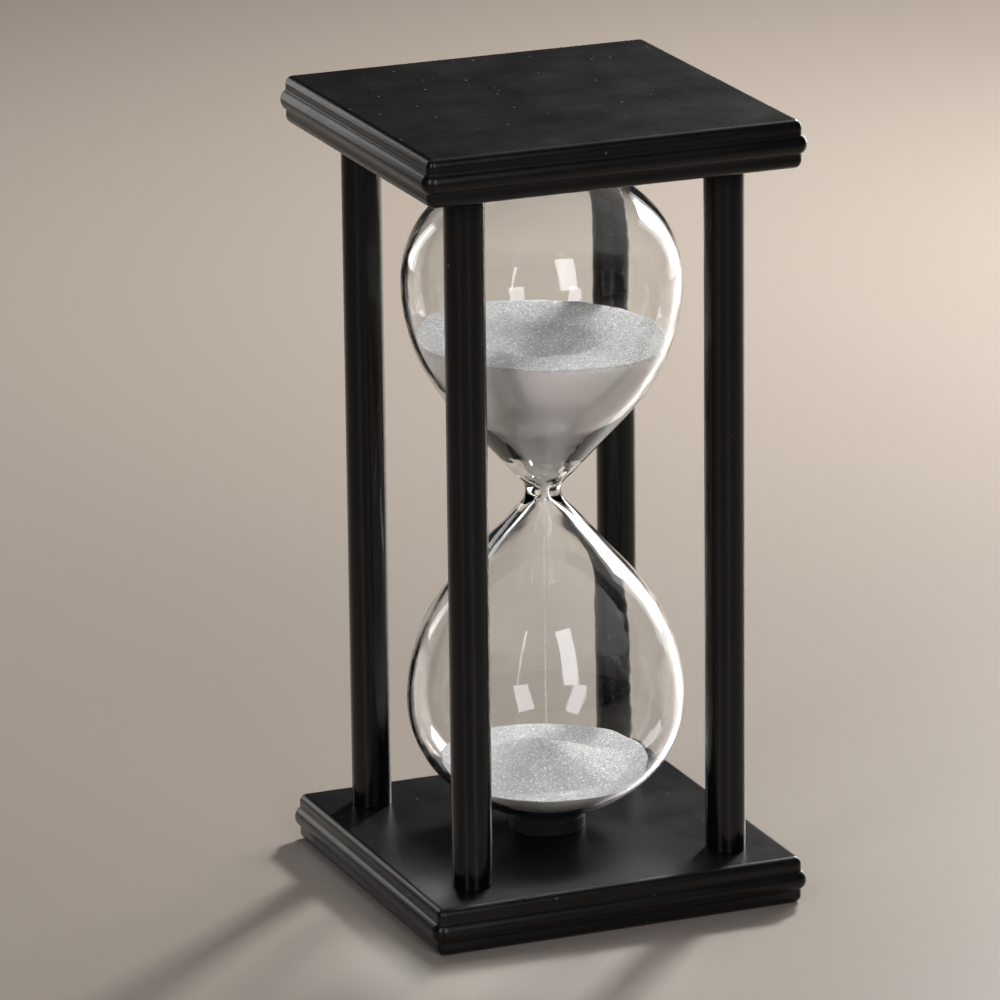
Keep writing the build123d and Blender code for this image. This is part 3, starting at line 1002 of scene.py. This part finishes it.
@dataclass
class GlassVial:
    """The blown vial, its stopper, seats and pads."""

    finishes: Finishes
    neck_r: float = 4.5 * MM
    wall: float = 1.4 * MM
    orifice_r: float = 0.8 * MM
    fill_r: float = 3.5 * MM
    flange_r: float = 4.7 * MM
    seat_floor: float = 1.5 * MM
    pad_share: float = 0.58
    segments: int = 288

    def __post_init__(self) -> None:
        """Reads the vial's size from the frame."""
        low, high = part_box("glass_vial")
        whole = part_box("top_plate")[1].z
        self.mid = whole / 2
        self.bulb_r = (high.x - low.x) / 2
        self.end = self.mid - low.z
        self.outer = BulbCurve(self.bulb_r, self.end, self.neck_r, self.neck_r * 0.9)
        self.inner = self.inside(0.0)

    def inside(self, gap: float) -> BulbCurve:
        """The inner surface of the glass, or one a gap further in."""
        return BulbCurve(self.bulb_r, self.end, max(self.orifice_r - gap, 0.3 * MM), self.orifice_r * 7.5,
                         self.wall + gap)

    def blown(self, strength: float, seed: float, curl: float = 0.0) -> Wobble:
        """The slight unevenness of hand-blown glass, strongest at the waist.

        Args:
            strength: Size of the unevenness.
            seed: Picks the pattern.
            curl: Depth of the folds that the closing of the bore left in the thick glass over the waist.

        Returns:
            A function that shifts the rings of the vial.
        """
        def shift(r: np.ndarray, z: np.ndarray, a: np.ndarray) -> tuple[np.ndarray, np.ndarray]:
            """Shifts one ring."""
            h = (z - self.mid) / MM
            waist = np.exp(-(h / 9.0) ** 2)
            wave = (np.sin(2 * a + seed + h * 0.05) + 0.6 * np.sin(3 * a - seed + h * 0.11)
                    + waist * 1.4 * np.sin(5 * a + h * 0.7 + seed))
            size = strength * (0.35 + 1.5 * waist) * np.minimum(1.0, r / (4 * MM))
            fold = np.exp(-((h - 4.6) / 2.4) ** 2) + 0.35 * np.exp(-((h + 3.4) / 1.8) ** 2)
            fold = fold * (0.55 + 0.3 * np.sin(3 * a + 1.7 * h + seed) + 0.15 * np.sin(5 * a - 2.9 * h))
            return r + wave * size + curl * fold, z
        return shift

    def vial(self) -> bpy.types.Object:
        """The glass itself: outside up, over the lip of the filling hole, and back down the inside."""
        outside = [(r, self.mid - h) for r, h in reversed(self.outer.points(fine=2))]
        outside += [(r, self.mid + h) for r, h in self.outer.points(self.fill_r, 2)[1:]]
        inside = [(r, self.mid + h) for r, h in reversed(self.inner.points(self.fill_r))]
        inside += [(r, self.mid - h) for r, h in self.inner.points()[1:]]
        skins = [lathe("vial_part", run, self.segments, wobble=self.blown(0.05 * MM, seed, curl))
                 for run, seed, curl in ((outside, 0.4, 0.0), (inside, 2.1, 0.5 * MM))]
        verts = np.concatenate([np.array([v.co[:] for v in s.vertices]) for s in skins])
        n0 = len(skins[0].vertices)
        faces = [tuple(p.vertices) for p in skins[0].polygons]
        faces += [tuple(i + n0 for i in p.vertices) for p in skins[1].polygons]
        rim = n0 - self.segments
        faces += [(rim + k, rim + (k + 1) % self.segments, n0 + (k + 1) % self.segments, n0 + k)
                  for k in range(self.segments)]
        for skin in skins:
            bpy.data.meshes.remove(skin)
        mesh = mesh_from("glass_vial_blown", verts, faces, 60)
        return place_piece("glass_vial_blown", mesh, self.finishes.glass, Slot.GLASS, ["glass_vial"])

    def stopper(self) -> bpy.types.Object:
        """The plug in the filling hole, with a rounded flange."""
        low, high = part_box("filling_stopper")
        seat = self.mid + self.outer.end_c[1] + math.sqrt(self.outer.end_r ** 2 - self.fill_r ** 2)
        edge = self.mid + self.outer.end_c[1] + math.sqrt(self.outer.end_r ** 2 - self.flange_r ** 2)
        shaft = self.fill_r - 0.02 * MM
        run = softened([(0.0, low.z), (shaft, low.z), (shaft, seat), (self.flange_r, edge),
                        (self.flange_r, high.z), (0.0, high.z)], 0.35 * MM)
        mesh = lathe("filling_stopper_plug", run, 96)
        return place_piece("filling_stopper_plug", mesh, self.finishes.stopper, Slot.STOPPER,
                           ["filling_stopper"])

    def seat_outline(self, radius: float, height: float, end_gap: float) -> list[Point2]:
        """Outline of a seat standing on nought, dished for the bulb and recessed for the pad.

        Args:
            radius: Outer radius of the seat.
            height: Height of the seat.
            end_gap: Height of the end of the bulb over the plate.

        Returns:
            The outline from the underside to the pad recess.
        """
        pad_r = radius * self.pad_share
        end_r = self.outer.end_r + 0.03 * MM
        meet = math.sqrt(end_r ** 2 - (end_gap + self.outer.end_r - height) ** 2)
        dish = [(pad_r + (meet - pad_r) * t / 5) for t in range(5, -1, -1)]
        outline = [(0.0, 0.0), (radius - 0.15 * MM, 0.0), (radius, 0.25 * MM), (radius, height - 0.9 * MM),
                   (radius - 0.25 * MM, height - 0.75 * MM), (radius - 0.25 * MM, height)]
        outline += [(r, end_gap + self.outer.end_r - math.sqrt(end_r ** 2 - r ** 2)) for r in dish]
        outline += [(pad_r, self.seat_floor), (0.0, self.seat_floor)]
        return softened(outline, 0.3 * MM)

    def seats(self) -> list[bpy.types.Object]:
        """The ring under each end of the vial, and the pad in it."""
        low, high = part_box("lower_seat")
        floor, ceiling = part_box("base_plate")[1].z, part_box("top_plate")[0].z
        radius, height = (high.x - low.x) / 2, high.z - low.z
        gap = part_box("glass_vial")[0].z - floor
        outline = self.seat_outline(radius, height, gap)
        pieces = []
        for node, run in (("lower_seat", [(r, floor + z) for r, z in outline]),
                          ("upper_seat", [(r, ceiling - z) for r, z in reversed(outline)])):
            mesh = lathe(f"{node}_ring", run, 144)
            pieces.append(place_piece(f"{node}_ring", mesh, self.finishes.seat, Slot.SEAT, [node]))
        pad_r = (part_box("lower_pad")[1].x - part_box("lower_pad")[0].x) / 2
        end_r = self.outer.end_r + 0.01 * MM
        bowl = [(pad_r * t / 8, floor + gap + end_r - math.sqrt(end_r ** 2 - (pad_r * t / 8) ** 2))
                for t in range(8, -1, -1)]
        low_pad = [(0.0, floor + self.seat_floor), (pad_r, floor + self.seat_floor)] + bowl
        top_low, top_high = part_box("upper_pad")
        top_pad = softened([(0.0, top_low.z), (pad_r, top_low.z), (pad_r, top_high.z), (0.0, top_high.z)],
                           0.15 * MM)
        for node, run in (("lower_pad", softened(low_pad, 0.15 * MM)), ("upper_pad", top_pad)):
            mesh = lathe(f"{node}_foam", run, 96)
            pieces.append(place_piece(f"{node}_foam", mesh, self.finishes.pad, Slot.PAD, [node]))
        return pieces

    def build(self) -> list[bpy.types.Object]:
        """The vial and what holds it."""
        return [self.vial(), self.stopper(), *self.seats()]


@dataclass
class Sand:
    """The heaps, their loose crystals and the falling thread."""

    finishes: Finishes
    vial: GlassVial
    scatter: Scatter
    wall_gap: float = 0.12 * MM
    segments: int = 224
    rings: int = 96
    crater_r: float = 15.3 * MM
    crater_fall: float = 7.6 * MM
    dish_fall: float = 1.2 * MM
    heap_r: float = 19.5 * MM
    heap_rise: float = 1.3 * MM
    valley_fall: float = 1.2 * MM
    crystal: float = 0.26 * MM
    upper_lean: Point2 = (-0.028, 0.024)
    lower_lean: Point2 = (0.0, 0.045)

    def __post_init__(self) -> None:
        """Reads the sand's levels from the frame."""
        self.curve = self.vial.inside(self.wall_gap)
        self.mid = self.vial.mid
        self.top_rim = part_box("upper_sand")[1].z - self.mid
        low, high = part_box("lower_sand")
        self.crown = high.z + self.heap_rise
        self.low_r = (high.x - low.x) / 2
        self.low_rim = self.level_of(self.low_r)
        self.bed = self.curve.top

    def level_of(self, radius: float) -> float:
        """Distance from the waist at which the wall past the belly has this radius."""
        lo, hi = self.curve.belly_h, self.curve.top
        for _ in range(40):
            mid = (lo + hi) / 2
            lo, hi = (mid, hi) if self.curve.radius_at(mid) > radius else (lo, mid)
        return lo

    def heap(self, name: str, start: float, rim: float, lean: Point2, side: int,
             relief: Callable[[np.ndarray, np.ndarray, np.ndarray], np.ndarray]) -> bpy.types.Mesh:
        """A closed heap that fills the vial from one height to a leaning, rippled free surface.

        Args:
            name: Name of the mesh.
            start: Distance from the waist at which the heap starts.
            rim: Distance from the waist of the middle of its free surface.
            lean: Rise of the free surface along X and along Y.
            side: 1 over the waist, -1 under it.
            relief: Height over the leaning plane for arrays of X, Y and rim radius.

        Returns:
            The mesh, with the attribute "open_face" at 1 on the free surface.
        """
        turn = np.arange(self.segments) * 2 * math.pi / self.segments
        c, s = np.cos(turn), np.sin(turn)
        flat_r = self.curve.radius_at(rim)
        ripple = (np.sin(turn * 3 + 0.6) * 0.16 + np.sin(turn * 8 + 2.0) * 0.07
                  + np.sin(turn * 17) * 0.04) * MM
        rim_z = side * rim + (lean[0] * c + lean[1] * s) * flat_r + ripple
        heights = [start + (side * rim_z - start) * (t / 40) ** 1.5 for t in range(1, 41)]
        walls = [np.stack([c * r, s * r, self.mid + side * h], 1)
                 for h in heights for r in (np.interp(h, self.curve.run[:, 1], self.curve.run[:, 0]),)]
        if side > 0:
            first = self.curve.radius_at(start)
            walls.insert(0, np.stack([c * first, s * first, np.full(self.segments, self.mid + side * start)],
                                     1))
        rim_ring = walls[-1]
        rim_r = np.hypot(rim_ring[:, 0], rim_ring[:, 1])
        tops = []
        for i in range(1, self.rings):
            q = 1 - i / self.rings
            x, y = rim_ring[:, 0] * q, rim_ring[:, 1] * q
            z = self.mid + side * rim + lean[0] * x + lean[1] * y + ripple * q ** 3 + relief(x, y, rim_r)
            tops.append(np.stack([x, y, z], 1))
        centre = relief(np.zeros(1), np.zeros(1), np.full(1, flat_r))[0]
        rows = [np.array([[0.0, 0.0, self.mid + side * start]])] + walls + tops
        rows.append(np.array([[0.0, 0.0, self.mid + side * rim + centre]]))
        verts = np.concatenate(rows)
        open_from = 1 + len(walls) * self.segments
        verts[open_from:-1, 2] += bumps(verts[open_from:-1], 2.4 * MM, 3.7) * 0.08 * MM
        n, faces = self.segments, []
        faces += [(0, 1 + (k + 1) % n, 1 + k) for k in range(n)]
        for j in range(len(rows) - 3):
            a, b = 1 + j * n, 1 + (j + 1) * n
            faces += [(a + k, a + (k + 1) % n, b + (k + 1) % n, b + k) for k in range(n)]
        last, pole = 1 + (len(rows) - 3) * n, len(verts) - 1
        faces += [(last + k, last + (k + 1) % n, pole) for k in range(n)]
        mesh = mesh_from(name, verts, faces, 180)
        mark = np.zeros(len(verts))
        mark[open_from - n:] = 1.0
        mesh.attributes.new("open_face", "FLOAT", "POINT").data.foreach_set("value", mark)
        return mesh

    def crater(self, x: np.ndarray, y: np.ndarray, rim_r: np.ndarray) -> np.ndarray:
        """Relief of the upper sand: a dish, a crater with a crisp lip, and a shallow trough beside it."""
        a, r = np.arctan2(y, x), np.hypot(x, y)
        lip = self.crater_r * (1 + 0.045 * np.sin(2 * a + 0.8) + 0.03 * np.sin(5 * a)
                               + 0.015 * np.sin(9 * a + 1.0))
        q = np.hypot(x + 0.7 * MM, y - 0.3 * MM)
        dish = -self.dish_fall * np.clip((rim_r - r) / (rim_r - lip), 0, 1)
        soft = 0.22 * MM
        fall = self.crater_fall * (1 - q / lip)
        pit = -soft * np.logaddexp(0.0, fall / soft)
        pit = np.maximum(pit, -self.crater_fall + 0.5 * MM)
        trough = np.exp(-((r - 22.5 * MM) / (1.9 * MM)) ** 2) * np.clip(np.cos(a + 2.2), 0, 1) ** 6
        swell = np.exp(-((r - 26.5 * MM) / (1.8 * MM)) ** 2) * np.clip(np.cos(a + 2.2), 0, 1) ** 3
        return dish + pit - 1.1 * MM * trough + 0.7 * MM * swell

    def cone(self, x: np.ndarray, y: np.ndarray, rim_r: np.ndarray) -> np.ndarray:
        """Relief of the lower sand: a heap under the thread, standing in a ring valley."""
        a, r = np.arctan2(y, x), np.hypot(x, y)
        foot = self.heap_r * (1 + 0.05 * np.sin(2 * a + 2.0) + 0.03 * np.sin(5 * a + 1.0)
                              + 0.012 * np.sin(11 * a))
        q = np.hypot(x, y)
        rise = self.crown - (self.mid - self.low_rim)
        up = rise - (rise + self.valley_fall) * q / foot * (1 + 0.05 * np.sin(3 * a + 0.4))
        bank = -self.valley_fall * np.clip((rim_r - r) / (rim_r - foot), 0, 1.8)
        soft = 0.2 * MM
        return (soft * np.logaddexp(up / soft, bank / soft)
                - soft * math.log(2) * np.exp(-np.abs(up - bank) / soft))

    def build(self) -> list[bpy.types.Object]:
        """Both heaps, their crystals and the thread between them."""
        pieces = []
        for node, start, rim, lean, side, relief, seed in (
                ("upper_sand", 0.0, self.top_rim, self.upper_lean, 1, self.crater, 11),
                ("lower_sand", self.bed, self.low_rim, self.lower_lean, -1, self.cone, 17)):
            mesh = self.heap(f"{node}_heap", start, rim, lean, side, relief)
            heap = place_piece(f"{node}_heap", mesh, self.finishes.sand, Slot.SAND, [node])
            crystals = self.scatter.over(heap, f"{node}_crystals", self.finishes.grain,
                                         Per_Square_Metre=1.1e7,
                                         Grain_Size=self.crystal, Flatness=0.8, Least_Slope=0.55, Seed=seed)
            pieces += [heap, place_piece(f"{node}_crystals", crystals, self.finishes.grain, Slot.SAND)]
        thread = FallingStream().pour("falling_sand_thread", self.finishes.stream, Count=1500, Top=self.mid,
                                      Bottom=self.crown, Top_Spread=0.1 * MM, Bottom_Spread=0.2 * MM,
                                      Grain_Size=0.2 * MM, Seed=5)
        pieces.append(place_piece("falling_sand_thread", thread, self.finishes.stream, Slot.STREAM,
                                  ["falling_sand"]))
        return pieces


@dataclass
class SettledDust:
    """Stray sand crystals on the inside of the glass and on the base plate."""

    finishes: Finishes
    vial: GlassVial
    scatter: Scatter

    def build(self) -> list[bpy.types.Object]:
        """The stray crystals."""
        gap = self.vial.inside(0.06 * MM)
        pieces = []
        for name, sign in (("upper_bulb_dust", 1), ("lower_bulb_dust", -1)):
            run = [(r, self.vial.mid + sign * h) for r, h in gap.points() if h > 26 * MM]
            run = run[::-1] if sign < 0 else run
            host = bpy.data.objects.new(name, lathe(name, run, 96))
            mesh = self.scatter.over(host, name, self.finishes.grain, Per_Square_Metre=1.3e5,
                                     Grain_Size=0.18 * MM, Flatness=0.6, Least_Slope=-2.0, Seed=23)
            bpy.data.objects.remove(host)
            pieces.append(place_piece(name, mesh, self.finishes.grain, Slot.SAND))
        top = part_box("base_plate")[1].z
        run = [(0.0, top - 0.4 * MM), (26 * MM, top - 0.4 * MM), (26 * MM, top), (0.0, top)]
        host = bpy.data.objects.new("base_dust", lathe("base_dust", run, 48))
        mesh = self.scatter.over(host, "base_dust", self.finishes.grain, Per_Square_Metre=5.5e4,
                                 Grain_Size=0.14 * MM, Flatness=0.5, Least_Slope=0.9, Seed=31)
        bpy.data.objects.remove(host)
        pieces.append(place_piece("base_dust", mesh, self.finishes.grain, Slot.SAND))
        return pieces


# ---- studio -----------------------------------------------------------------------------------------
@dataclass(frozen=True)
class Softbox:
    """A rectangular lamp aimed at the timer."""

    name: str
    place: tuple[float, float, float]
    size: tuple[float, float]
    watts: float
    colour: tuple[float, float, float] = (1.0, 1.0, 1.0)
    aim: tuple[float, float, float] = (0.0, 0.0, 0.1)

    def build(self) -> bpy.types.Object:
        """Puts the lamp in the scene."""
        lamp = bpy.data.lights.new(self.name, "AREA")
        lamp.shape, lamp.size, lamp.size_y = "RECTANGLE", self.size[0], self.size[1]
        lamp.energy, lamp.color = self.watts, self.colour
        thing = bpy.data.objects.new(self.name, lamp)
        bpy.context.scene.collection.objects.link(thing)
        away = Vector(self.place) - Vector(self.aim)
        thing.matrix_world = Matrix.Translation(self.place) @ away.to_track_quat(
            "Z", "Y").to_matrix().to_4x4()
        return thing


@dataclass
class Studio:
    """Camera, pale floor, dim room and soft lamps, placed around the height named middle."""

    camera_at: tuple[float, float, float] = (-0.6546, -1.5857, 0.6121)
    azimuth: float = -22.068
    elevation: float = 16.700
    roll: float = -0.671
    lens: float = 259.7
    sensor: float = 36.0
    far_clip: float = 50.0
    floor_half: float = 5.0
    floor_colour: tuple[float, float, float] = (0.38, 0.33, 0.285)
    floor_rough: float = 0.4
    floor_specular: float = 0.5
    room_colour: tuple[float, float, float] = (0.95, 0.97, 1.0)
    room_strength: float = 0.02
    middle: float = 0.1

    def around(self, turn: float, rise: float, far: float) -> tuple[float, float, float]:
        """A place seen from the timer.

        Args:
            turn: Degrees to the right of the line from the camera through the timer, nought being behind it.
            rise: Degrees above the horizontal.
            far: Distance.

        Returns:
            The place.
        """
        a = math.radians(90 - turn + self.azimuth)
        e = math.radians(rise)
        return (far * math.cos(e) * math.cos(a), far * math.cos(e) * math.sin(a),
                self.middle + far * math.sin(e))

    def camera(self) -> None:
        """Makes the camera from its angles."""
        az, el, ro = (math.radians(v) for v in (self.azimuth, self.elevation, self.roll))
        back = Vector((math.sin(az) * math.cos(el), -math.cos(az) * math.cos(el), math.sin(el)))
        right = (-back).cross(Vector((0, 0, 1))).normalized()
        up = right.cross(-back)
        right, up = (right * math.cos(ro) + up * math.sin(ro), up * math.cos(ro) - right * math.sin(ro))
        data = bpy.data.cameras.new("camera")
        data.lens, data.sensor_width, data.clip_end = self.lens, self.sensor, self.far_clip
        thing = bpy.data.objects.new("camera", data)
        thing.matrix_world = Matrix.Translation(self.camera_at) @ Matrix(
            (right, up, back)).transposed().to_4x4()
        bpy.context.scene.collection.objects.link(thing)
        bpy.context.scene.camera = thing

    def floor(self) -> None:
        """A plain pale floor."""
        half = self.floor_half
        corners = [(-half, -half, 0), (half, -half, 0), (half, half, 0), (-half, half, 0)]
        mesh = mesh_from("floor", np.array(corners), [(0, 1, 2, 3)])
        g, out = fresh_material("floor_plain")
        shader = g.add("ShaderNodeBsdfPrincipled", {"Base Color": (*self.floor_colour, 1),
                                                    "Roughness": self.floor_rough,
                                                    "Specular IOR Level": self.floor_specular})
        g.join(shader.outputs[0], out.inputs[0])
        mesh.materials.append(owner(g))
        floor = bpy.data.objects.new("floor", mesh)
        bpy.context.scene.collection.objects.link(floor)

    def room(self) -> None:
        """A dim room for soft fill and quiet reflections."""
        world = bpy.data.worlds.new("room")
        world.use_nodes = True
        world.node_tree.nodes.clear()
        g = Graph(world.node_tree)
        shade = g.add("ShaderNodeBackground", {"Color": (*self.room_colour, 1),
                                                  "Strength": self.room_strength})
        g.join(shade.outputs[0], g.add("ShaderNodeOutputWorld").inputs[0])
        bpy.context.scene.world = world

    def build(self) -> None:
        """The whole studio."""
        self.camera()
        self.floor()
        self.room()
        for box in (Softbox("key_back_right", self.around(25, 31, 1.25), (0.15, 0.15), 15.0,
                            (1.0, 0.98, 0.95)),
                    Softbox("window_back_right", self.around(37, 13, 0.8), (0.2, 0.44), 2.4,
                            (1.0, 0.985, 0.96)),
                    Softbox("window_glow", self.around(38, 13, 0.86), (0.42, 0.6), 1.3, (1.0, 0.985, 0.97)),
                    Softbox("window_back_left", self.around(-42, 14, 0.9), (0.2, 0.5), 0.8,
                            (1.0, 0.99, 0.98)),
                    Softbox("strip_front_right", self.around(158, 29, 1.6), (0.38, 0.95), 6.0,
                            (0.95, 0.94, 1.0)),
                    Softbox("strip_front_left", self.around(-149, 29, 1.6), (0.36, 0.95), 5.7,
                            (0.95, 0.94, 1.0)),
                    Softbox("overhead", (0.2, 0.6, 2.4), (2.2, 2.2), 7.0)):
            box.build()
            LOG.info("lamp %s at %s", box.name, tuple(round(c, 2) for c in box.place))
        view = bpy.context.scene.view_settings
        view.view_transform = "Standard"
        view.look = "None"


def main() -> None:
    """Builds the timer and its studio, and reports each piece."""
    logging.basicConfig(level=logging.INFO, format="%(name)s: %(message)s")
    finishes = Finishes()
    scatter = Scatter()
    vial = GlassVial(finishes)
    for maker in (MouldedPlates(finishes), TurnedPosts(finishes), vial, Sand(finishes, vial, scatter),
                  SettledDust(finishes, vial, scatter)):
        made = maker.build()
        LOG.info("%s: %d pieces", type(maker).__name__, len(made))
    Studio().build()


if __name__ == "__main__":
    main()
